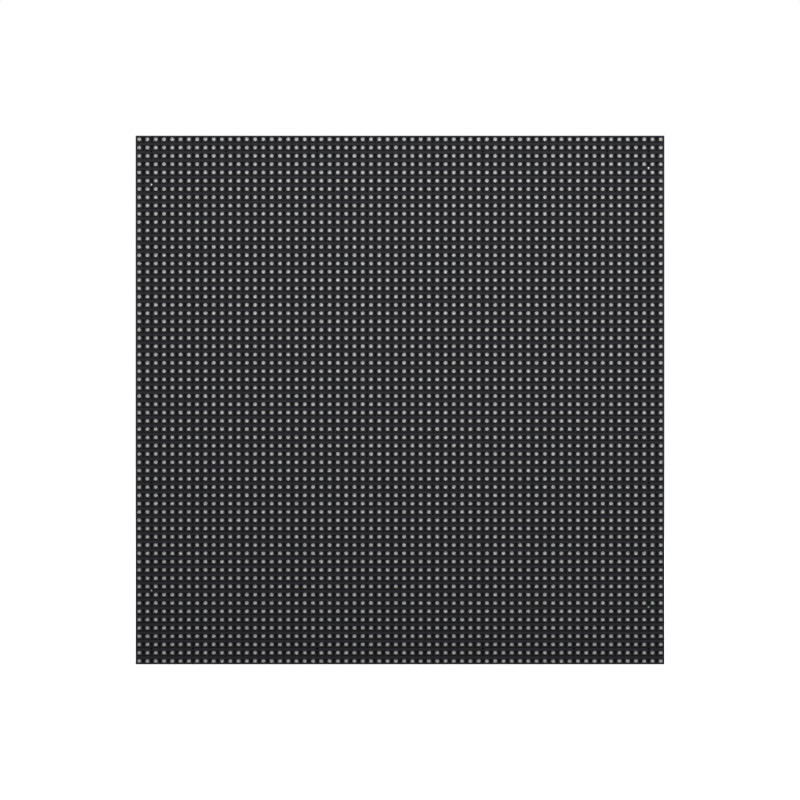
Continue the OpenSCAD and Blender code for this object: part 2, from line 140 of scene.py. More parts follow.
def strips(paths, width, low, high):
    # Flat strips along paths of (x, z) points, all with the same number of points. Each point has
    # four corners: path - edge and path + edge, at low and at high along +Y.
    paths = np.asarray(paths, float)
    edge = mitred(paths) * width / 2
    points = np.stack([np.insert(paths + side * edge, 1, y, axis=-1)
                       for side, y in ((-1, low), (-1, high), (1, high), (1, low))], 2)
    count, length = paths.shape[:2]
    ring, row = np.arange(4), np.arange(length - 1)[:, None] * 4
    following = (ring + 1) % 4
    walls = np.stack([row + ring, row + 4 + ring, row + 4 + following, row + following], -1).reshape(-1, 4)
    caps = np.stack([ring, (ring + (length - 1) * 4)[::-1]])
    faceSets = outward((points[0].reshape(-1, 3), [(walls, 0, False), (caps, 0, False)]))[1]
    start = (np.arange(count) * length * 4)[:, None, None]
    return points.reshape(-1, 3), [((faces + start).reshape(-1, 4), number, smooth)
                                   for faces, number, smooth in faceSets]


def stamp(shape, places, turns=None):
    # Copies a shape to every place, turned about +Y by that place's angle first.
    points, faceSets = shape
    places = np.asarray(places, float).reshape(-1, 3)
    turns = np.zeros(len(places)) if turns is None else np.asarray(turns, float)
    cosine, sine = np.cos(turns)[:, None], np.sin(turns)[:, None]
    x, y, z = points.T
    turned = np.stack([x * cosine + z * sine, np.repeat(y[None], len(places), 0),
                       z * cosine - x * sine], -1)
    shift = (np.arange(len(places)) * len(points))[:, None, None]
    copies = [((faces[None] + shift).reshape(-1, faces.shape[1]), finish, smooth)
              for faces, finish, smooth in faceSets]
    return (turned + places[:, None]).reshape(-1, 3), copies


def addObject(name, data):
    made = bpy.data.objects.new(name, data)
    bpy.context.scene.collection.objects.link(made)
    return made


def addPiece(name, shapes, finishes, replaced=(), creases=None, marks=None):
    # Joins shapes into one mesh object at the origin and lets it ride on the module.
    points, corners, sizes, finishOf, smoothOf = [], [], [], [], []
    start = 0
    for shapePoints, faceSets in shapes:
        points.append(shapePoints)
        for faces, finish, smooth in faceSets:
            corners.append((faces + start).ravel())
            sizes.append(np.full(len(faces), faces.shape[1]))
            finishOf.append(np.full(len(faces), finish))
            smoothOf.append(np.full(len(faces), smooth))
        start += len(shapePoints)
    points, corners, sizes = np.concatenate(points), np.concatenate(corners), np.concatenate(sizes)
    mesh = bpy.data.meshes.new(name)
    mesh.vertices.add(len(points))
    mesh.vertices.foreach_set("co", points.astype(np.float32).ravel())
    mesh.loops.add(len(corners))
    mesh.loops.foreach_set("vertex_index", corners.astype(np.int32))
    mesh.polygons.add(len(sizes))
    mesh.polygons.foreach_set("loop_start", (np.cumsum(sizes) - sizes).astype(np.int32))
    mesh.polygons.foreach_set("material_index", np.concatenate(finishOf).astype(np.int32))
    mesh.polygons.foreach_set("use_smooth", np.concatenate(smoothOf).astype(bool))
    for finish in finishes:
        mesh.materials.append(finish)
    for label, values in (marks or {}).items():
        mesh.attributes.new(label, "FLOAT", "POINT").data.foreach_set("value", values.astype(np.float32))
    mesh.update(calc_edges=True)
    if creases:
        mesh.set_sharp_from_angle(angle=math.radians(creases))
    piece = addObject(name, mesh)
    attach(piece, "root")
    if replaced:
        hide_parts(*replaced)
    print("made", name, "-", int((sizes - 2).sum()), "triangles")


def solidBoxes(node):
    # The box of every separate solid in a CAD node: points that share a place are one, and the
    # lowest number in each connected set of points spreads along the edges until it is settled.
    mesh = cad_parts[node].data
    co = np.zeros(len(mesh.vertices) * 3)
    mesh.vertices.foreach_get("co", co)
    co = co.reshape(-1, 3)
    edges = np.zeros(len(mesh.edges) * 2, int)
    mesh.edges.foreach_get("vertices", edges)
    _, same = np.unique(np.round(co * 1e6).astype(int), axis=0, return_inverse=True)
    same = same.ravel()
    a, b = same[edges].reshape(-1, 2).T
    label = np.arange(same.max() + 1)
    while True:
        low = np.minimum(label[a], label[b])
        before = label.copy()
        np.minimum.at(label, a, low)
        np.minimum.at(label, b, low)
        label = label[label]
        if (label == before).all():
            break
    _, solid = np.unique(label[same], return_inverse=True)
    solid = solid.ravel()
    low, high = np.full((solid.max() + 1, 3), 1e9), np.full((solid.max() + 1, 3), -1e9)
    np.minimum.at(low, solid, co)
    np.maximum.at(high, solid, co)
    return low, high


def setInputs(tree, node, values):
    # Links sockets to a node's inputs and copies plain values into them.
    for key, value in values.items():
        if isinstance(value, bpy.types.NodeSocket):
            tree.links.new(value, node.inputs[key])
        else:
            node.inputs[key].default_value = value


def addNode(tree, kind, values=None, **settings):
    made = tree.nodes.new(kind)
    for key, value in settings.items():
        setattr(made, key, value)
    setInputs(tree, made, values or {})
    return made


def math2(tree, operation, first, second=0.0, clamp=False):
    return addNode(tree, "ShaderNodeMath", {0: first, 1: second},
                   operation=operation, use_clamp=clamp).outputs[0]


def newGroup(name, inputs, outputs):
    group = bpy.data.node_groups.new(name, "ShaderNodeTree")
    for direction, sockets in (("INPUT", inputs), ("OUTPUT", outputs)):
        for label, kind in sockets.items():
            group.interface.new_socket(name=label, in_out=direction, socket_type="NodeSocket" + kind)
    return group, group.nodes.new("NodeGroupInput").outputs, group.nodes.new("NodeGroupOutput")


def mixColour(tree, factor, first, second):
    return addNode(tree, "ShaderNodeMix", {0: factor, 6: first, 7: second}, data_type="RGBA").outputs[2]


def ramp(tree, value, start=0.0, end=1.0, low=0.0, high=1.0):
    # Runs from low to high while the value runs from start to end.
    return addNode(tree, "ShaderNodeMapRange", {0: value, 1: start, 2: end, 3: low, 4: high}).outputs[0]


def noise(tree, place, scale, detail=2.0, rough=0.5):
    return addNode(tree, "ShaderNodeTexNoise", {"Vector": place, "Scale": scale, "Detail": detail,
                                                "Roughness": rough}).outputs["Fac"]


def objectAxes(tree):
    # The x, y and z of a point, from the middle of the module's rear face.
    place = addNode(tree, "ShaderNodeTexCoord").outputs["Object"]
    return addNode(tree, "ShaderNodeSeparateXYZ", {0: place}).outputs


def overlay(tree, mask, colour=None, rough=None):
    # Lays a second colour or roughness over what the surface has so far, where the mask is one.
    shader = tree.nodes["Principled BSDF"].inputs
    if colour is not None:
        below = shader["Base Color"].links[0].from_socket
        tree.links.new(mixColour(tree, mask, below, (*colour, 1)), shader["Base Color"])
    if rough is not None:
        below = shader["Roughness"].links[0].from_socket
        mixed = addNode(tree, "ShaderNodeMix", {0: mask, 2: below, 3: rough}).outputs[0]
        tree.links.new(mixed, shader["Roughness"])


def seenDirectly(tree):
    # One for rays from the camera, off a glossy surface or through a clear one, and else zero.
    path = addNode(tree, "ShaderNodeLightPath").outputs
    seen = math2(tree, "ADD", path["Is Camera Ray"], path["Is Glossy Ray"], True)
    return math2(tree, "ADD", seen, path["Is Transmission Ray"], True)


def makeSpeckle():
    # Two colours mixed by a broad drift plus a fine grain; the grain is also the height.
    group, given, out = newGroup("speckle", {
        "Vector": "Vector", "Broad Scale": "Float", "Grain Scale": "Float", "Grain Share": "Float",
        "Dark Colour": "Color", "Light Colour": "Color"},
        {"Colour": "Color", "Mask": "Float", "Height": "Float"})
    broad = noise(group, given["Vector"], given["Broad Scale"], 3.0, 0.6)
    grain = noise(group, given["Vector"], given["Grain Scale"], 2.0, 0.55)
    blend = addNode(group, "ShaderNodeMix", {0: given["Grain Share"], 2: broad, 3: grain}).outputs[0]
    mask = ramp(group, blend, 0.3, 0.7)
    colour = mixColour(group, mask, given["Dark Colour"], given["Light Colour"])
    setInputs(group, out, {"Colour": colour, "Mask": mask, "Height": grain})
    return group


def makeFlecks():
    # Specks of dust: the middles of a few of the cells of a Voronoi pattern, the share of cells
    # being picked by the cell's own random colour.
    group, given, out = newGroup("flecks", {"Vector": "Vector", "Scale": "Float", "Share": "Float",
                                            "Size": "Float"}, {"Mask": "Float"})
    cells = addNode(group, "ShaderNodeTexVoronoi",
                    {"Vector": given["Vector"], "Scale": given["Scale"]}).outputs
    own = addNode(group, "ShaderNodeSeparateColor", {0: cells["Color"]}).outputs
    picked = math2(group, "LESS_THAN", own[0], given["Share"])
    radius = math2(group, "MULTIPLY", given["Size"], math2(group, "ADD", own[1], 0.4))
    near = math2(group, "LESS_THAN", cells["Distance"], radius)
    group.links.new(math2(group, "MULTIPLY", near, picked), out.inputs["Mask"])
    return group


speckle, flecks = makeSpeckle(), makeFlecks()


def makeFinish(name, look):
    # A surface whose colour, roughness and relief all follow the speckle group.
    material = bpy.data.materials.new(name)
    material.use_nodes = True
    tree = material.node_tree
    place = addNode(tree, "ShaderNodeTexCoord").outputs["Object"]
    if "stretch" in look:
        place = addNode(tree, "ShaderNodeMapping", {"Vector": place, "Scale": look["stretch"]}).outputs[0]
    tone = addNode(tree, "ShaderNodeGroup", {
        "Vector": place, "Broad Scale": look["broad"], "Grain Scale": look["grain"],
        "Grain Share": look["share"], "Dark Colour": (*look["dark"], 1),
        "Light Colour": (*look["light"], 1)}, node_tree=speckle).outputs
    bump = addNode(tree, "ShaderNodeBump", {"Height": tone["Height"], "Strength": look["bump"],
                                            "Distance": look.get("relief", 0.02) * mm}).outputs[0]
    setInputs(tree, tree.nodes["Principled BSDF"], {
        "Base Color": tone["Colour"], "Roughness": ramp(tree, tone["Mask"], 0.0, 1.0, *look["rough"]),
        "Normal": bump, "Metallic": look.get("metal", 0.0), "Specular IOR Level": look.get("gloss", 0.5),
        "Coat Weight": look.get("coat", 0.0), "Coat Roughness": 0.1,
        "Subsurface Weight": look.get("depth", 0.0), "Subsurface Scale": 0.4 * mm})
    if "clear" in look:
        setInputs(tree, tree.nodes["Principled BSDF"],
                  {"Alpha": ramp(tree, tone["Mask"], 0.0, 1.0, *look["clear"])})
    if "dust" in look:
        scale, share, size = look["dust"]
        specks = addNode(tree, "ShaderNodeGroup", {"Vector": place, "Scale": scale, "Share": share,
                                                   "Size": size}, node_tree=flecks)
        overlay(tree, specks.outputs[0], dustColour)
    return material


# Colours are linear and scales are in noise cells per metre; relief is in millimetres, and dust is
# its cells per metre, the share of them that hold a speck, and the speck's size in cells; clear is
# the range of the alpha of milky resin
dustColour = (.16, .16, .165)
looks = {
    "maskBlack": dict(dark=(.0080, .0080, .0101), light=(.0125, .0125, .0155), broad=25, grain=5200, share=.5,
                      rough=(.42, .54), bump=.5, relief=.012, gloss=.055, dust=(650, .035, .065)),
    "frameBlack": dict(dark=(.0100, .0100, .0110), light=(.0190, .0190, .0206), broad=30, grain=3600,
                       share=.45, rough=(.42, .6), bump=.7, relief=.032, gloss=.25, dust=(420, .04, .05)),
    "chipEpoxy": dict(dark=(.012, .012, .0125), light=(.024, .024, .025), broad=220, grain=9000, share=.6,
                      rough=(.5, .68), bump=.5, relief=.01, gloss=.45),
    "shroudNylon": dict(dark=(.010, .010, .011), light=(.020, .020, .0215), broad=160, grain=4200, share=.5,
                        rough=(.34, .5), bump=.4, relief=.015),
    "ivoryNylon": dict(dark=(.60, .565, .47), light=(.74, .71, .62), broad=140, grain=3000, share=.35,
                       rough=(.34, .46), bump=.3, relief=.01, depth=.15),
    "tin": dict(dark=(.50, .50, .49), light=(.74, .74, .72), broad=900, grain=6500, share=.45,
                rough=(.22, .42), bump=.35, relief=.006, metal=1.0),
    "solder": dict(dark=(.42, .42, .42), light=(.72, .72, .71), broad=700, grain=3000, share=.4,
                   rough=(.18, .4), bump=.5, relief=.012, metal=1.0),
    "goldFlash": dict(dark=(.62, .41, .13), light=(.86, .63, .27), broad=500, grain=5000, share=.4,
                      rough=(.2, .34), bump=.3, relief=.005, metal=1.0),
    "brass": dict(dark=(.46, .31, .10), light=(.74, .54, .22), broad=420, grain=5200, share=.45,
                  rough=(.24, .42), bump=.35, relief=.008, metal=1.0),
    "blackZinc": dict(dark=(.045, .045, .05), light=(.10, .10, .108), broad=700, grain=7000, share=.5,
                      rough=(.32, .5), bump=.35, relief=.006, metal=1.0),
    "drawnAluminium": dict(dark=(.44, .45, .46), light=(.62, .63, .64), broad=260, grain=2600, share=.4,
                           rough=(.3, .44), bump=.3, relief=.006, metal=1.0, stretch=(1, .08, 1)),
    "printBlack": dict(dark=(.012, .012, .013), light=(.022, .022, .024), broad=300, grain=4000, share=.5,
                       rough=(.4, .55), bump=.3, relief=.004),
    "capacitorClay": dict(dark=(.30, .19, .105), light=(.43, .29, .17), broad=600, grain=8000, share=.6,
                          rough=(.5, .66), bump=.4, relief=.008),
    "resistorGlaze": dict(dark=(.010, .010, .011), light=(.022, .022, .024), broad=500, grain=6000, share=.5,
                          rough=(.2, .34), bump=.25, relief=.004, coat=.3),
    "legendWhite": dict(dark=(.62, .63, .60), light=(.80, .80, .77), broad=400, grain=7000, share=.6,
                        rough=(.5, .65), bump=.4, relief=.006),
    "maskedCopper": dict(dark=(.009, .082, .038), light=(.016, .115, .054), broad=220, grain=2500, share=.4,
                         rough=(.2, .3), bump=.25, relief=.004, gloss=.4, coat=.12),
    "viaCopper": dict(dark=(.018, .115, .055), light=(.036, .16, .08), broad=600, grain=4000, share=.4,
                      rough=(.2, .3), bump=.25, relief=.004, gloss=.4, coat=.12),
    "viaHole": dict(dark=(.004, .010, .006), light=(.008, .018, .011), broad=600, grain=4000, share=.4,
                    rough=(.4, .5), bump=.2, relief=.004),
    "silverBar": dict(dark=(.285, .285, .283), light=(.34, .34, .337), broad=900, grain=7000, share=.5,
                      rough=(.3, .45), bump=.25, relief=.004, metal=.25),
    "dieBlue": dict(dark=(.19, .20, .22), light=(.26, .27, .29), broad=900, grain=9000, share=.5,
                    rough=(.25, .4), bump=.2, relief=.003),
    "pinTin": dict(dark=(.90, .82, .73), light=(.99, .95, .89), broad=700, grain=6000, share=.5,
                   rough=(.22, .34), bump=.3, relief=.005, metal=.15),
    "lampBlack": dict(dark=(.0045, .0045, .0048), light=(.0075, .0075, .0079), broad=300, grain=8000,
                      share=.6, rough=(.7, .85), bump=.3, relief=.005, gloss=.1),
    "lampCup": dict(dark=(.187, .187, .19), light=(.225, .225, .228), broad=900, grain=7000, share=.4,
                    rough=(.35, .5), bump=.2, relief=.004),
    "lampResin": dict(dark=(.62, .62, .63), light=(.72, .72, .72), broad=700, grain=5000, share=.4,
                      rough=(.45, .6), bump=.25, relief=.006, gloss=.3, clear=(.14, .24)),
    "boardMask": dict(dark=(.0035, .034, .017), light=(.0075, .054, .027), broad=45, grain=2600, share=.3,
                      rough=(.24, .36), bump=.3, relief=.006, gloss=.28),
}
finish = {name: makeFinish(name, look) for name, look in looks.items()}


def tintLamps(name, markColour, markName, power):
    # Gives each lamp its own tone, and a second colour where the mark is one.
    tree = finish[name].node_tree
    mark = addNode(tree, "ShaderNodeAttribute", attribute_name=markName).outputs["Fac"]
    overlay(tree, math2(tree, "POWER", mark, power), markColour)
    colour = tree.nodes["Principled BSDF"].inputs["Base Color"]
    own = addNode(tree, "ShaderNodeAttribute", attribute_name="lampTone").outputs["Fac"]
    scaled = addNode(tree, "ShaderNodeVectorMath", {0: colour.links[0].from_socket, "Scale": own},
                     operation="SCALE").outputs[0]
    tree.links.new(scaled, colour)


tintLamps("lampBlack", (.13, .13, .132), "corner", 2.0)
# painted shade: the cup's wall darkens towards its rim, by the rimShade mark
tintLamps("lampCup", (.19, .19, .192), "rimShade", 1.0)

# painted shade in the mask's recesses: its colour and roughness, and the depths and border of the band it
# covers
recessShadeLook = dict(colour=(.0092, .0092, .0099), rough=0.9, start=0.1 * mm, end=0.9 * mm, border=0.1 * mm)


def paintRecessShade():
    # Painted shade: the walls and webs below the outer faces of the slats are coloured a little darker
    # than the slats and made matte, told apart by how deep a point lies, and only inside the field of lamps.
    low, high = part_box("front_mask")
    tree = finish["maskBlack"].node_tree
    x, y, z = objectAxes(tree)
    deep = ramp(tree, y, low.y + recessShadeLook["start"], low.y + recessShadeLook["end"])
    across = math2(tree, "MAXIMUM", math2(tree, "ABSOLUTE", x), math2(tree, "ABSOLUTE", z))
    inside = math2(tree, "LESS_THAN", across, high.x - recessShadeLook["border"])
    overlay(tree, math2(tree, "MULTIPLY", deep, inside), recessShadeLook["colour"], recessShadeLook["rough"])


def colourBelow(name, axis, limit, colour):
    # Gives a finish another colour below a limit along one of the object's axes.
    tree = finish[name].node_tree
    overlay(tree, math2(tree, "LESS_THAN", objectAxes(tree)[axis], limit), colour)


paintRecessShade()
# painted shade: the screws' tips, deep in their narrow holes, are coloured near black
colourBelow("blackZinc", 1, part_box("circuit_board")[0].y, (.002, .002, .002))
colourBelow("pinTin", 2, 0.0, (.48, .45, .43))  # the lower pair of pins is coloured darker and greyer


boardLook = dict(
    front=(.0045, .0045, .005), frontRough=0.9, skin=0.03 * mm, via=(.014, .095, .045),
    viaSpot=(0.27, 0.15), viaRadii=(0.035, 0.09), viaShare=0.8,  # in dot pitches from a cell's middle
    resin=(.15, .125, .062), glass=(.33, .29, .165), cloth=1100.0, squeeze=(0.06, 9.0, 0.06))


def dressBoard():
    # Green mask behind, black mask in front and bare laminate round the edge, told apart by depth.
    low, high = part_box("circuit_board")
    tree = finish["boardMask"].node_tree
    colour = tree.nodes["Principled BSDF"].inputs["Base Color"]
    place = addNode(tree, "ShaderNodeTexCoord").outputs["Object"]
    split = addNode(tree, "ShaderNodeSeparateXYZ", {0: place}).outputs
    behind = math2(tree, "GREATER_THAN", split[1], high.y - boardLook["skin"])
    before = math2(tree, "LESS_THAN", split[1], low.y + boardLook["skin"])
    overlay(tree, math2(tree, "MULTIPLY", viaField(tree, split), behind), boardLook["via"])
    # layers of glass cloth along the cut edge, from a noise squeezed across the thickness
    layered = addNode(tree, "ShaderNodeMapping", {"Vector": place, "Scale": boardLook["squeeze"]}).outputs[0]
    fibre = ramp(tree, noise(tree, layered, boardLook["cloth"]), 0.35, 0.65)
    laminate = mixColour(tree, fibre, (*boardLook["resin"], 1), (*boardLook["glass"], 1))
    tree.links.new(mixColour(tree, behind, laminate, colour.links[0].from_socket), colour)
    overlay(tree, before, boardLook["front"], boardLook["frontRough"])


def viaField(tree, split):
    # Small covered vias, four to a dot: a ring is where the distance from the nearest of four
    # spots in each dot's cell, mirrored in x and z, lies between two radii.
    inner, outer = boardLook["viaRadii"]
    distance = []
    for axis, middle in zip((0, 2), boardLook["viaSpot"]):
        cell = math2(tree, "FRACT", math2(tree, "DIVIDE", split[axis], lampGrid["pitch"]))
        away = math2(tree, "ABSOLUTE", math2(tree, "SUBTRACT", cell, 0.5))
        distance.append(math2(tree, "POWER", math2(tree, "SUBTRACT", away, middle), 2.0))
    far = math2(tree, "SQRT", math2(tree, "ADD", distance[0], distance[1]))
    within, beyond = math2(tree, "LESS_THAN", far, outer), math2(tree, "GREATER_THAN", far, inner)
    return math2(tree, "MULTIPLY", math2(tree, "MULTIPLY", within, beyond), boardLook["viaShare"])


# Lamps: black square housings with a round cup, a lead bar, three dies and clear resin
lampLow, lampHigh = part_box("led_lamps")
lampLook = dict(count=64, cup=1.45 * mm, housing=2.0 * mm, floorShare=0.89, cupDepth=0.62 * mm,
                steps=16, unevenness=0.022, seed=11)
lampGrid = dict(pitch=(lampHigh.x - lampLow.x - lampLook["cup"]) / (lampLook["count"] - 1),
                left=lampLow.x + lampLook["cup"] / 2, down=lampLow.z + lampLook["cup"] / 2,
                front=lampLow.y, back=lampHigh.y)
print("dot pitch", round(lampGrid["pitch"] / mm, 4), "mm")


squareStart, rimStart = 4, 12  # the first points of the housing's second and third row


def lampHousing():
    # A square block whose front is pierced by a cup: the rows of points are the square at the
    # board, the square at the front with a point midway along each side, the cup's rim and the
    # cup's floor. The point at angle a of the rim is (radius * cos a, radius * sin a) in (x, z).
    half, rim = lampLook["housing"] / 2, lampLook["cup"] / 2
    steps, quarter = lampLook["steps"], lampLook["steps"] // 4
    front, back = lampGrid["front"], lampGrid["back"]
    corner = np.array([[1, 1], [-1, 1], [-1, -1], [1, -1]]) * half
    angle = (np.arange(steps) + steps / 8) * 2 * math.pi / steps
    circle = np.stack([np.cos(angle), np.sin(angle)], 1)
    square = np.stack([corner, (corner + np.roll(corner, -1, 0)) / 2], 1).reshape(-1, 2)
    rows = [(corner, back), (square, front), (circle * rim, front),
            (circle * rim * lampLook["floorShare"], front + lampLook["cupDepth"])]
    points = np.concatenate([np.insert(flat, 1, y, axis=1) for flat, y in rows])
    side = np.arange(4)
    turn = (side + 1) % 4
    ring = np.arange(steps)
    following = (ring + 1) % steps
    near, halfway, far = squareStart + 2 * side, squareStart + 2 * side + 1, squareStart + 2 * turn
    walls = np.stack([side, near, halfway, far, turn], -1)
    spread = (side[:, None] * quarter + np.arange(quarter + 1)) % steps
    face = np.concatenate([np.stack([far, halfway, near], -1), rimStart + spread], 1)
    cup = rimStart + np.stack([steps + ring, steps + following, following, ring], -1)
    floor = (rimStart + steps + ring)[None, ::-1]
    return outward((points, [(walls, 0, False), (face, 0, False), (cup, 1, True), (floor, 1, False),
                             (side[None], 0, False)]))


housing = lampHousing()
housingPoints = len(housing[0])
lampColumn, lampRow = np.meshgrid(np.arange(lampLook["count"]), np.arange(lampLook["count"]))
lampPlaces = np.stack([lampGrid["left"] + lampColumn.ravel() * lampGrid["pitch"],
                       np.zeros(lampColumn.size),
                       lampGrid["down"] + lampRow.ravel() * lampGrid["pitch"]], 1)
lampRandom = np.random.default_rng(lampLook["seed"])
lampTone = 1 + lampLook["unevenness"] * lampRandom.standard_normal(len(lampPlaces)).clip(-2.5, 2.5)
cornerMark = np.zeros(housingPoints)
cornerMark[squareStart:rimStart:2] = [0.9, 1.0, 0.7, 0.75]  # paler at the corners, most at the first contact
rimShade = np.zeros(housingPoints)
rimShade[rimStart:rimStart + lampLook["steps"]] = 1  # painted shade: the cup's wall darkens towards its rim

for half, chosen in (("left", lampPlaces[:, 0] < 0), ("right", lampPlaces[:, 0] > 0)):
    places = lampPlaces[chosen]
    addPiece("lamp_housings_" + half, [stamp(housing, places)], [finish["lampBlack"], finish["lampCup"]],
             replaced=["led_lamps"],
             marks={"lampTone": np.repeat(lampTone[chosen], housingPoints),
                    "corner": np.tile(cornerMark, len(places)), "rimShade": np.tile(rimShade, len(places))})

cupFloor = lampGrid["front"] + lampLook["cupDepth"]
barLook = dict(width=0.34 * mm, length=1.2 * mm, thick=0.05 * mm, sunk=0.02 * mm)
dieLook = dict(width=0.18 * mm, length=0.22 * mm, thick=0.12 * mm, step=0.32 * mm, sunk=0.01 * mm)
barFront = cupFloor - barLook["thick"]
leadBar = block(barLook["width"], barLook["length"], barFront, cupFloor + barLook["sunk"])
addPiece("lamp_lead_bars", [stamp(leadBar, lampPlaces)], [finish["silverBar"]])
die = block(dieLook["width"], dieLook["length"], barFront - dieLook["thick"], barFront + dieLook["sunk"])
dieSteps = np.array([[0, 0, -1], [0, 0, 0], [0, 0, 1]]) * dieLook["step"]
diePlaces = (lampPlaces[:, None] + dieSteps).reshape(-1, 3)
addPiece("lamp_dies", [stamp(die, diePlaces)], [finish["dieBlue"]])


resinLook = dict(fill=0.985, rimDepth=0.03 * mm, rise=0.02 * mm)


def resinLens():
    # A shallow dome over a flat underside: one ring at the rim and a raised middle.
    steps, front = lampLook["steps"], lampGrid["front"]
    radius = lampLook["cup"] / 2 * resinLook["fill"]
    angle = np.arange(steps) * 2 * math.pi / steps + math.pi / 4
    ring = np.stack([radius * np.cos(angle), np.full(steps, front + resinLook["rimDepth"]),
                     radius * np.sin(angle)], 1)
    points = np.concatenate([ring, [[0, front - resinLook["rise"], 0]]])
    index = np.arange(steps)
    dome = np.stack([index, (index + 1) % steps, np.full(steps, steps)], -1)
    return outward((points, [(dome, 0, True), (index[None, ::-1], 0, False)]))


addPiece("lamp_resin", [stamp(resinLens(), lampPlaces)], [finish["lampResin"]])

dressBoard()
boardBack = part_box("circuit_board")[1].y


def onBoard(x, z):
    # Places on the back of the board.
    return np.stack([x, np.full(len(x), boardBack), z], 1)


# CAD nodes that keep their shape
dressing = {
    "maskBlack": ("front_mask",), "boardMask": ("circuit_board",), "frameBlack": ("rear_frame",),
    "pinTin": ("locating_pins",), "blackZinc": ("frame_screws",),
    "chipEpoxy": ("column_drivers", "row_drivers", "line_buffers"),
    "shroudNylon": ("input_header", "output_header", "capacitor_bases"), "ivoryNylon": ("power_header",),
    "goldFlash": ("input_header_pins", "output_header_pins"), "drawnAluminium": ("capacitor_cans",),
    "tin": ("row_driver_leads", "line_buffer_leads", "power_header_pins", "capacitor_feet"),
}
for finishName, nodes in dressing.items():
    for holder in [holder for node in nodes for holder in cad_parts[node].material_slots]:
        holder.material = finish[finishName]
print("dressed", sum(map(len, dressing.values())), "nodes")

# Small parts with end contacts, and in the last dictionary what the arrays' four strips look like
smallLook = {
    "ceramic_capacitors": dict(body="capacitorClay", share=0.24, inset=0.03 * mm, slot="ceramic"),
    "bias_resistors": dict(body="resistorGlaze", share=0.2, inset=0.02 * mm, slot="resistor"),
    "resistor_arrays": dict(body="resistorGlaze", share=0.0, inset=0.02 * mm, slot="resistor"),
}
contactLook = dict(lift=0.02 * mm, bevel=0.02 * mm, bodyBevel=0.01 * mm)
arrayLook = dict(count=4, reach=0.32 * mm, fill=0.56, narrower=0.1 * mm)


def endContactShapes(node, look):
    # A glazed body between two plated ends; an array has four plated strips down each long side.
    low, high = solidBoxes(node)
    centre, size = (low + high) / 2, high - low
    length, width, tall = size[0, 0], size[0, 2], size[0, 1]
    places = onBoard(centre[:, 0], centre[:, 2])
    lift, bevel, top = contactLook["lift"], contactLook["bevel"], tall - look["inset"]
    if look["share"]:
        end = length * look["share"]
        body = block(length - end, width - 2 * look["inset"], lift, top, 0, contactLook["bodyBevel"])
        cap = block(end, width, 0, tall, 1, bevel)
        spots = [(side * (length - end) / 2, 0, 0) for side in (-1, 1)]
    else:
        short, step = min(length, width), max(length, width) / arrayLook["count"]
        body = block(short - arrayLook["narrower"], max(length, width), lift, top, 0, bevel)
        cap = block(arrayLook["reach"], step * arrayLook["fill"], 0, tall, 1, bevel)
        spots = [(side * (short - arrayLook["reach"]) / 2, 0, (i - (arrayLook["count"] - 1) / 2) * step)
                 for side in (-1, 1) for i in range(arrayLook["count"])]
    return [stamp(body, places)] + [stamp(cap, places + np.array(spot)) for spot in spots]


for node, look in smallLook.items():
    addPiece(node + "_plated", endContactShapes(node, look), [finish[look["body"]], finish["tin"]],
             replaced=[node])

# Gull-wing leads of the column drivers
legLook = dict(thick=0.2 * mm, shoulder=0.28 * mm, foot=0.5 * mm, bends=3, bendRadius=0.16 * mm,
               buried=0.05 * mm)


def leadToes(node, body):
    # Where each lead of a chip ends: x of its toe, z, the side it is on, its place along the chip,
    # counted from the chip's middle, and its number along that side.
    low, high = solidBoxes(node)
    bodyLow, bodyHigh = solidBoxes(body)
    middle, bodyMiddle = (low + high) / 2, (bodyLow + bodyHigh) / 2
    chip = np.abs(middle[:, None, [0, 2]] - bodyMiddle[None][:, :, [0, 2]]).sum(2).argmin(1)
    side = np.sign(middle[:, 0] - bodyMiddle[chip, 0])
    offset = middle[:, 2] - bodyMiddle[chip, 2]
    pitch = 2 * np.abs(offset).min()
    toe = np.where(side > 0, high[:, 0], low[:, 0])
    return toe, middle[:, 2], side, offset, np.round(offset / pitch + 0.5)


def roundedPath(corners, radius, steps):
    # Straight runs with each inner corner replaced by an arc of a quadratic curve.
    corners = np.array(corners, float)
    path = [corners[:1]]
    for i in range(1, len(corners) - 1):
        before = corners[i - 1] - corners[i]
        after = corners[i + 1] - corners[i]
        start = corners[i] + before / np.linalg.norm(before) * radius
        stop = corners[i] + after / np.linalg.norm(after) * radius
        t = np.linspace(0, 1, steps)[:, None]
        path.append((1 - t) ** 2 * start + 2 * t * (1 - t) * corners[i] + t ** 2 * stop)
    path.append(corners[-1:])
    return np.concatenate(path)


def driverLegs():
    # One lead's side view bent out of the body and down to a foot, set at every lead's box.
    low, high = solidBoxes("column_driver_leads")
    z, side = leadToes("column_driver_leads", "column_drivers")[1:3]
    reach, tall, width = (high - low)[0]
    half = legLook["thick"] / 2
    path = roundedPath([[-legLook["buried"], tall - half], [legLook["shoulder"], tall - half],
                        [reach - legLook["foot"], half], [reach, half]],
                       legLook["bendRadius"], legLook["bends"])
    points, faceSets = strips([path], legLook["thick"], -width / 2, width / 2)
    leg = outward((points[:, [0, 2, 1]], faceSets))
    inner = np.where(side > 0, low[:, 0], high[:, 0])
    return stamp(leg, onBoard(inner, z), np.where(side > 0, 0.0, math.pi))


addPiece("column_driver_legs", [driverLegs()], [finish["tin"]],
         replaced=["column_driver_leads"], creases=50)

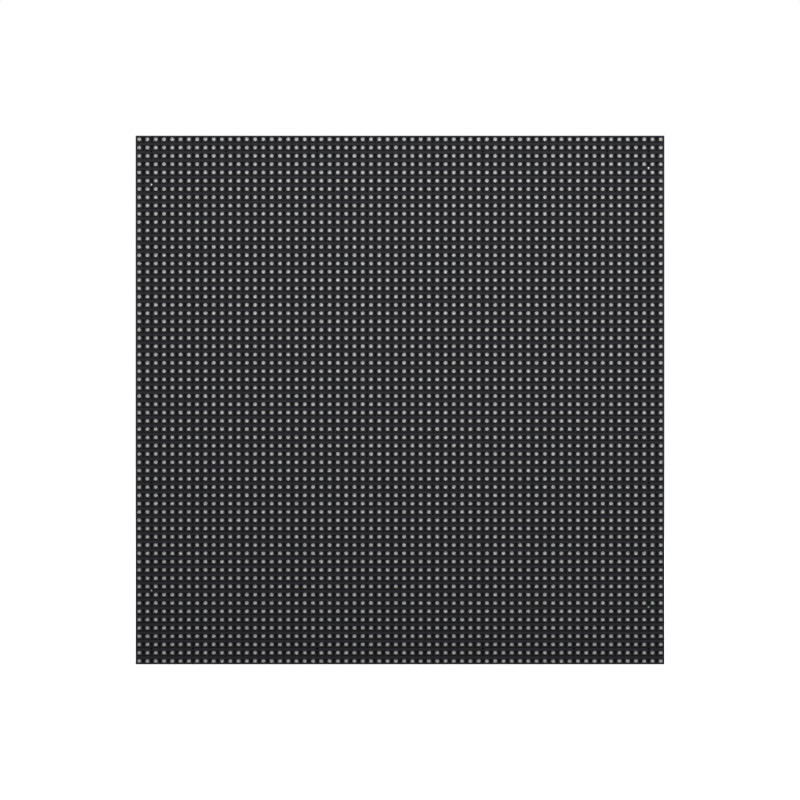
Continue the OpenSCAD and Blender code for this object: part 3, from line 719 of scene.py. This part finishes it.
# Solder pads under every foot, in millimetres: leads have a body, the ends of a small part have
# rows, contacts have neither, and the inset is from the toe or the end to the pad's middle
padLook = {
    "column_driver_leads": dict(body="column_drivers", inset=0.2, along=0.95, across=0.36, tall=0.05),
    "row_driver_leads": dict(body="row_drivers", inset=0.25, along=1.0, across=0.62, tall=0.05),
    "line_buffer_leads": dict(body="line_buffers", inset=0.25, along=0.95, across=0.38, tall=0.05),
    **dict.fromkeys(("ceramic_capacitors", "bias_resistors"),
                    dict(rows=1, inset=-0.02, along=0.75, across=0.92, tall=0.12)),
    "resistor_arrays": dict(rows=4, inset=-0.1, along=0.6, across=0.5, tall=0.08),
    "capacitor_feet": dict(inset=None, along=1.5, across=1.5, tall=0.1),
    **dict.fromkeys(("input_header_pins", "output_header_pins"),
                    dict(inset=0.35, along=1.9, across=1.1, tall=0.08)),
    "power_header_pins": dict(inset=0.35, along=1.9, across=2.2, tall=0.08),
}
padSunk, padTaper = 0.01 * mm, 0.12  # the taper is a share of the pad's smaller side


def padSpots(node, look):
    # The (x, z) of the pads under a node, as a list of pairs of arrays.
    low, high = solidBoxes(node)
    x, z = ((low + high) / 2)[:, [0, 2]].T
    if look["inset"] is None:
        return [(x, z)]
    inset = look["inset"] * mm
    if "rows" in look:
        steps = [(i + 0.5) / look["rows"] for i in range(look["rows"])]
        return [(end - side * inset, low[:, 2] + (high[:, 2] - low[:, 2]) * step)
                for end, side in ((low[:, 0], -1), (high[:, 0], 1)) for step in steps]
    if "body" in look:
        side = leadToes(node, look["body"])[2]
    else:
        side = np.sign(x - (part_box(node)[0].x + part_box(node)[1].x) / 2)
    return [(np.where(side > 0, high[:, 0], low[:, 0]) - side * inset, z)]


padShapes = []
for node, look in padLook.items():
    along, across = look["along"] * mm, look["across"] * mm
    pad = block(along, across, -padSunk, look["tall"] * mm, 0, min(along, across) * padTaper)
    padShapes += [stamp(pad, onBoard(*spot)) for spot in padSpots(node, look)]
addPiece("solder_pads", padShapes, [finish["solder"]])

# Copper tracks and vias under the green mask
trackLook = dict(width=0.2 * mm, busWidth=0.32 * mm, lift=0.022 * mm, jog=0.32 * mm, sunk=0.01 * mm,
                 outs=(1.5 * mm, 2.5 * mm), bufferOuts=(0.9 * mm, 0.9 * mm), straight=0.5 * mm,
                 start=0.1 * mm, seed=5)
viaLook = dict(rim=0.3 * mm, shoulder=0.92, height=1.4, hole=0.15 * mm, core=0.9, coreHeight=0.5, sides=8)
busLook = dict(pitch=0.62 * mm, bends=4, margin=4 * mm,
               side=dict(away=5.8 * mm, count=7, half=2.1 * mm),
               middle=dict(away=5.6 * mm, count=5, half=1.5 * mm))
rowLook = dict(away=9.4 * mm, past=2 * mm, clear=28 * mm, margin=10 * mm, step=0.6 * mm, stagger=0.9 * mm,
               bendMargin=3 * mm, aside=0.3 * mm)
trackRandom = np.random.default_rng(trackLook["seed"])
viaPlaces = []


def fanOut(node, body, outs):
    # A track from every toe: out, aside by the jog away from the chip's middle, out again to a via.
    # The vias stand at the two outs by turns.
    toe, z, side, offset, number = leadToes(node, body)
    reach = np.where(number % 2 == 0, outs[0], outs[1])
    aside = z + np.sign(offset) * trackLook["jog"]
    bend = toe + side * trackLook["straight"]
    far = toe + side * reach
    viaPlaces.append(np.stack([far, far * 0, aside], 1))
    return np.stack([np.stack([toe - side * trackLook["start"], z], 1), np.stack([bend, z], 1),
                     np.stack([bend + side * trackLook["jog"], aside], 1), np.stack([far, aside], 1)], 1)


fine = np.concatenate([fanOut("column_driver_leads", "column_drivers", trackLook["outs"]),
                       fanOut("row_driver_leads", "row_drivers", trackLook["outs"]),
                       fanOut("line_buffer_leads", "line_buffers", trackLook["bufferOuts"])])


def busLines(left, count, reach):
    # Upright lines side by side, which all step aside by the same jogs at the same heights.
    heights = np.sort(trackRandom.uniform(-reach, reach, busLook["bends"]))
    jogs = trackRandom.choice([-1, 1], busLook["bends"]).cumsum() * trackLook["jog"]
    x = np.repeat(np.concatenate([[0], jogs]), 2)
    z = np.concatenate([[-reach], np.stack([heights, heights + trackLook["jog"]], 1).ravel(), [reach]])
    start = left + np.arange(count)[:, None] * busLook["pitch"]
    return np.stack([start + x, np.repeat(z[None], count, 0)], -1)


bankToe = np.abs(leadToes("column_driver_leads", "column_drivers")[0])
sideToe = bankToe.max()
middleToe = bankToe[bankToe < sideToe / 2].max()
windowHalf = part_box("rear_frame")[1].x
wide = [busLines(side * (toe + look["away"]) - look["half"], look["count"], windowHalf - busLook["margin"])
        for toe, look in ((sideToe, busLook["side"]), (middleToe, busLook["middle"])) for side in (-1, 1)]


def rowLines(near, far):
    # Three level lines to each row of lamps, between near and far from the middle, with one step
    # aside, and a via at either end. Rows close to the middle have none.
    rows = lampGrid["down"] + np.arange(lampLook["count"]) * lampGrid["pitch"]
    rows = rows[(np.abs(rows) > rowLook["clear"]) & (np.abs(rows) < windowHalf - rowLook["margin"])]
    z = (rows[:, None] + np.array([-1, 0, 1]) * rowLook["step"]).ravel()
    bends = trackRandom.uniform(near + rowLook["bendMargin"], far - rowLook["bendMargin"], len(rows))
    bend = np.repeat(bends, 3)
    stagger = np.tile([0, 1, 2], len(rows)) * rowLook["stagger"]
    aside = rowLook["aside"]
    flat = np.stack([np.stack([near + stagger, z], 1), np.stack([bend, z], 1),
                     np.stack([bend + aside, z + aside], 1), np.stack([far - stagger, z + aside], 1)], 1)
    both = np.concatenate([flat, flat * [-1, 1]])
    for end in (0, 3):
        viaPlaces.append(np.insert(both[:, end], 1, 0, axis=1))
    return both


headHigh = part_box("input_header")[1]
fine = np.concatenate([fine, rowLines(sideToe + rowLook["away"], headHigh.x + rowLook["past"])])
lift = boardBack + trackLook["lift"]
sunk = boardBack - trackLook["sunk"]
addPiece("board_traces", [strips(fine, trackLook["width"], sunk, lift)]
         + [strips(lines, trackLook["busWidth"], sunk, lift) for lines in wide],
         [finish["maskedCopper"]])
# heights of rim and core are shares of the tracks' height, and their upper radii of the lower
rim, hole, sides = viaLook["rim"], viaLook["hole"], viaLook["sides"]
viaTop = trackLook["lift"] * viaLook["height"]
viaRing = collar([(rim, 0), (rim * viaLook["shoulder"], viaTop), (hole, viaTop), (hole, 0)], sides)
viaCore = lathe([(hole, 0), (hole * viaLook["core"], trackLook["lift"] * viaLook["coreHeight"])], sides, 1)
viaSpots = np.concatenate(viaPlaces) + [0, sunk, 0]
addPiece("board_vias", [stamp(viaRing, viaSpots), stamp(viaCore, viaSpots)],
         [finish["viaCopper"], finish["viaHole"]])

# White outlines printed round the parts, with a dot at each chip's first lead
legendLook = dict(line=0.13 * mm, lift=0.03 * mm, dot=0.28 * mm, dotTop=0.94, dotSides=12,
                  dotMargin=(1.75 * mm, 0.9 * mm), dotIn=0.3 * mm)
legendMargin = {
    "column_drivers": (1.75, 0.3), "row_drivers": (1.75, 0.3), "line_buffers": (1.7, 0.3),
    "capacitor_bases": (1.3, 0.7), "resistor_arrays": (0.7, 0.3), "input_header": (0.3, 0.3),
    "output_header": (0.3, 0.3), "power_header": (0.3, 0.3),
}


def outlines(node, margin):
    # A closed path round each solid's box, begun in the middle of its lower side.
    low, high = solidBoxes(node)
    centre, half = ((low + high) / 2)[:, [0, 2]], ((high - low) / 2)[:, [0, 2]] + margin
    corners = np.array([[0, -1], [1, -1], [1, 1], [-1, 1], [-1, -1], [0, -1]])
    return centre[:, None] + corners * half[:, None]


legend = np.concatenate([outlines(node, np.array(margin) * mm) for node, margin in legendMargin.items()])
firstLead = np.concatenate([outlines(node, legendLook["dotMargin"])[:, 3] + [legendLook["dotIn"], 0]
                            for node in ("column_drivers", "row_drivers", "line_buffers")])
legendDot = lathe([(legendLook["dot"], 0), (legendLook["dot"] * legendLook["dotTop"], legendLook["lift"])],
                  legendLook["dotSides"])
addPiece("board_legend", [strips(legend, legendLook["line"], sunk, boardBack + legendLook["lift"]),
                          stamp(legendDot, np.insert(firstLead, 1, boardBack, axis=1))],
         [finish["legendWhite"]])

# Threaded inserts with a knurl outside and a thread inside
insertLook = dict(boreRadius=1.25 * mm, radius=2.3 * mm, length=6 * mm, threadPitch=0.5 * mm,
                  threadDepth=0.17 * mm, teeth=24, toothDepth=0.09 * mm, around=72, rowsPerTurn=6,
                  countersink=(0.35 * mm, 0.4 * mm), edge=(0.18 * mm, 0.16 * mm), chamfer=0.3 * mm,
                  bandEnds=(2.5 * mm, 3.5 * mm), end=0.4 * mm)


def insertShape():
    # Rows of (radius, height) up the bore, over the rear end and down the outside. In the bore the
    # radius adds depth * (1 + cos(angle + 2 pi height / pitch)) / 2, and on the knurled bands it
    # loses depth * (1 + cos(teeth * angle)) / 2.
    bore, radius, length = insertLook["boreRadius"], insertLook["radius"], insertLook["length"]
    flare, sunk = insertLook["countersink"]
    edgeIn, edgeDown = insertLook["edge"]
    chamfer, (upper, lower) = insertLook["chamfer"], insertLook["bandEnds"]
    rows = int(round((length - sunk) / insertLook["threadPitch"])) * insertLook["rowsPerTurn"]
    thread = [(bore, y) for y in np.linspace(-length, -sunk, rows)]
    outside = [(bore + flare, 0), (radius - edgeIn, 0), (radius, -edgeDown), (radius, -upper),
               (radius - chamfer, -upper - chamfer), (radius - chamfer, -lower + chamfer), (radius, -lower),
               (radius, -length + insertLook["end"]), (radius - chamfer, -length)]
    profile = np.array(thread + outside)
    angle = np.arange(insertLook["around"]) * 2 * math.pi / insertLook["around"]
    wave = 1 + np.cos(angle[None] + 2 * math.pi * profile[:, 1:] / insertLook["threadPitch"])
    teeth = 1 + np.cos(insertLook["teeth"] * angle[None])
    threaded = (np.arange(len(profile)) < len(thread))[:, None]
    knurled = (profile[:, :1] == radius)
    ripple = threaded * wave * insertLook["threadDepth"] / 2 - knurled * teeth * insertLook["toothDepth"] / 2
    return collar(profile, insertLook["around"], ripple)


insertLow, insertHigh = solidBoxes("threaded_inserts")
insertPlaces = (insertLow + insertHigh) / 2
insertPlaces[:, 1] = insertHigh[:, 1]
addPiece("knurled_inserts", [stamp(insertShape(), insertPlaces)], [finish["brass"]],
         replaced=["threaded_inserts"], creases=35)

# Pointed ends of the contacts, and the dark segment on each can's top
tipLook = {"input_header_pins": (0.35 * mm, 0), "output_header_pins": (0.35 * mm, 0),
           "power_header_pins": (0.5 * mm, 1)}  # height, and the number of its finish
tipTaper, tipSunk = 0.27, 0.01 * mm
tipShapes = []
for node, (tall, metal) in tipLook.items():
    low, high = solidBoxes(node)
    side = high[0, 2] - low[0, 2]
    centreX = (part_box(node)[0].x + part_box(node)[1].x) / 2
    rightwards = np.abs(high[:, 0] - centreX) > np.abs(low[:, 0] - centreX)
    x = np.where(rightwards, low[:, 0] + side / 2, high[:, 0] - side / 2)
    spots = np.stack([x, high[:, 1], (low[:, 2] + high[:, 2]) / 2], 1)
    tipShapes.append(stamp(block(side, side, -tipSunk, tall, metal, side * tipTaper), spots))
addPiece("contact_tips", tipShapes, [finish["goldFlash"], finish["tin"]])

canLow, canHigh = solidBoxes("capacitor_cans")
canMark = dict(bare=0.4, lift=0.02 * mm, sunk=0.01 * mm, steps=13, inset=0.55 * mm)  # bare: radius share
canRadius = (canHigh[0, 0] - canLow[0, 0]) / 2 - canMark["inset"]
sweep = np.linspace(-1, 1, canMark["steps"]) * math.acos(canMark["bare"])
segment = prism(canRadius * np.stack([np.sin(sweep), -np.cos(sweep)], 1), -canMark["sunk"], canMark["lift"])
canTops = (canLow + canHigh) / 2
canTops[:, 1] = canHigh[:, 1]
addPiece("can_marks", [stamp(segment, canTops)], [finish["printBlack"]])

# Camera, light, floor and world
middle = (cadLow + cadHigh) / 2
cameraLook = dict(lens=135.0, sensor=36.0, viewWidth=289.6 * mm)
cameraData = bpy.data.cameras.new("camera")
cameraData.lens, cameraData.sensor_width = cameraLook["lens"], cameraLook["sensor"]
cameraData.clip_start, cameraData.clip_end = 0.01, 50
camera = addObject("camera", cameraData)
distance = cameraLook["viewWidth"] * cameraLook["lens"] / cameraLook["sensor"]
camera.location = (middle.x, cadLow.y - distance, middle.z)
camera.rotation_euler = (math.pi / 2, 0, 0)
bpy.context.scene.camera = camera

lightLook = {
    "keyLight": dict(at=(0.03, -0.55, 0.15), size=0.4, watts=3.0),
    "fillLight": dict(at=(0.35, -1.15, 0.45), size=0.9, watts=3.0),
    "rearLight": dict(at=(0.35, 0.75, 0.6), size=0.7, watts=6.5),
}
for name, look in lightLook.items():
    light = bpy.data.lights.new(name, "AREA")
    light.shape, light.size, light.energy = "SQUARE", look["size"], look["watts"]
    holder = addObject(name, light)
    holder.location = look["at"]
    aim = middle - holder.location
    holder.rotation_euler = aim.to_track_quat("-Z", "Y").to_euler()


floorLook = dict(span=6.0, steps=40, below=0.05 * mm, grey=0.5, glow=0.82)
worldLook = dict(heights=(-0.3, 0.9), levels=(0.14, 0.6))


def makeFloor():
    # A broad level sheet just under the module.
    span, steps = floorLook["span"], floorLook["steps"]
    line = np.linspace(-span / 2, span / 2, steps)
    x, y = np.meshgrid(line, line)
    z = np.full_like(x, cadLow.z - floorLook["below"])
    points = np.stack([x, y, z], -1).reshape(-1, 3)
    index = np.arange(steps * steps).reshape(steps, steps)
    faces = np.stack([index[:-1, :-1], index[:-1, 1:], index[1:, 1:], index[1:, :-1]], -1).reshape(-1, 4)
    mesh = bpy.data.meshes.new("floor")
    mesh.from_pydata(points.tolist(), [], faces.tolist())
    floor = addObject("floor", mesh)
    material = bpy.data.materials.new("paleFloor")
    material.use_nodes = True
    tree = material.node_tree
    setInputs(tree, tree.nodes["Principled BSDF"], {
        "Roughness": 0.9, "Specular IOR Level": 0.1, "Base Color": (*[floorLook["grey"]] * 3, 1),
        "Emission Color": (1, 1, 1, 1),
        "Emission Strength": math2(tree, "MULTIPLY", seenDirectly(tree), floorLook["glow"])})
    mesh.materials.append(material)


makeFloor()


def makeWorld():
    # White to the camera; to everything else a soft studio that is brighter above than below.
    world = bpy.context.scene.world = bpy.data.worlds.new("studio")
    world.use_nodes = True
    tree = world.node_tree
    white = tree.nodes["Background"]
    setInputs(tree, white, {"Color": (1, 1, 1, 1), "Strength": 1.0})
    direction = addNode(tree, "ShaderNodeTexCoord").outputs["Generated"]
    height = addNode(tree, "ShaderNodeSeparateXYZ", {0: direction}).outputs[2]
    level = ramp(tree, height, *worldLook["heights"], *worldLook["levels"])
    soft = addNode(tree, "ShaderNodeBackground", {"Color": (1, 1, 1, 1), "Strength": level})
    mixed = addNode(tree, "ShaderNodeMixShader",
                    {0: seenDirectly(tree), 1: soft.outputs[0], 2: white.outputs[0]})
    setInputs(tree, tree.nodes["World Output"], {0: mixed.outputs[0]})


makeWorld()
bpy.context.scene.view_settings.view_transform = "Standard"
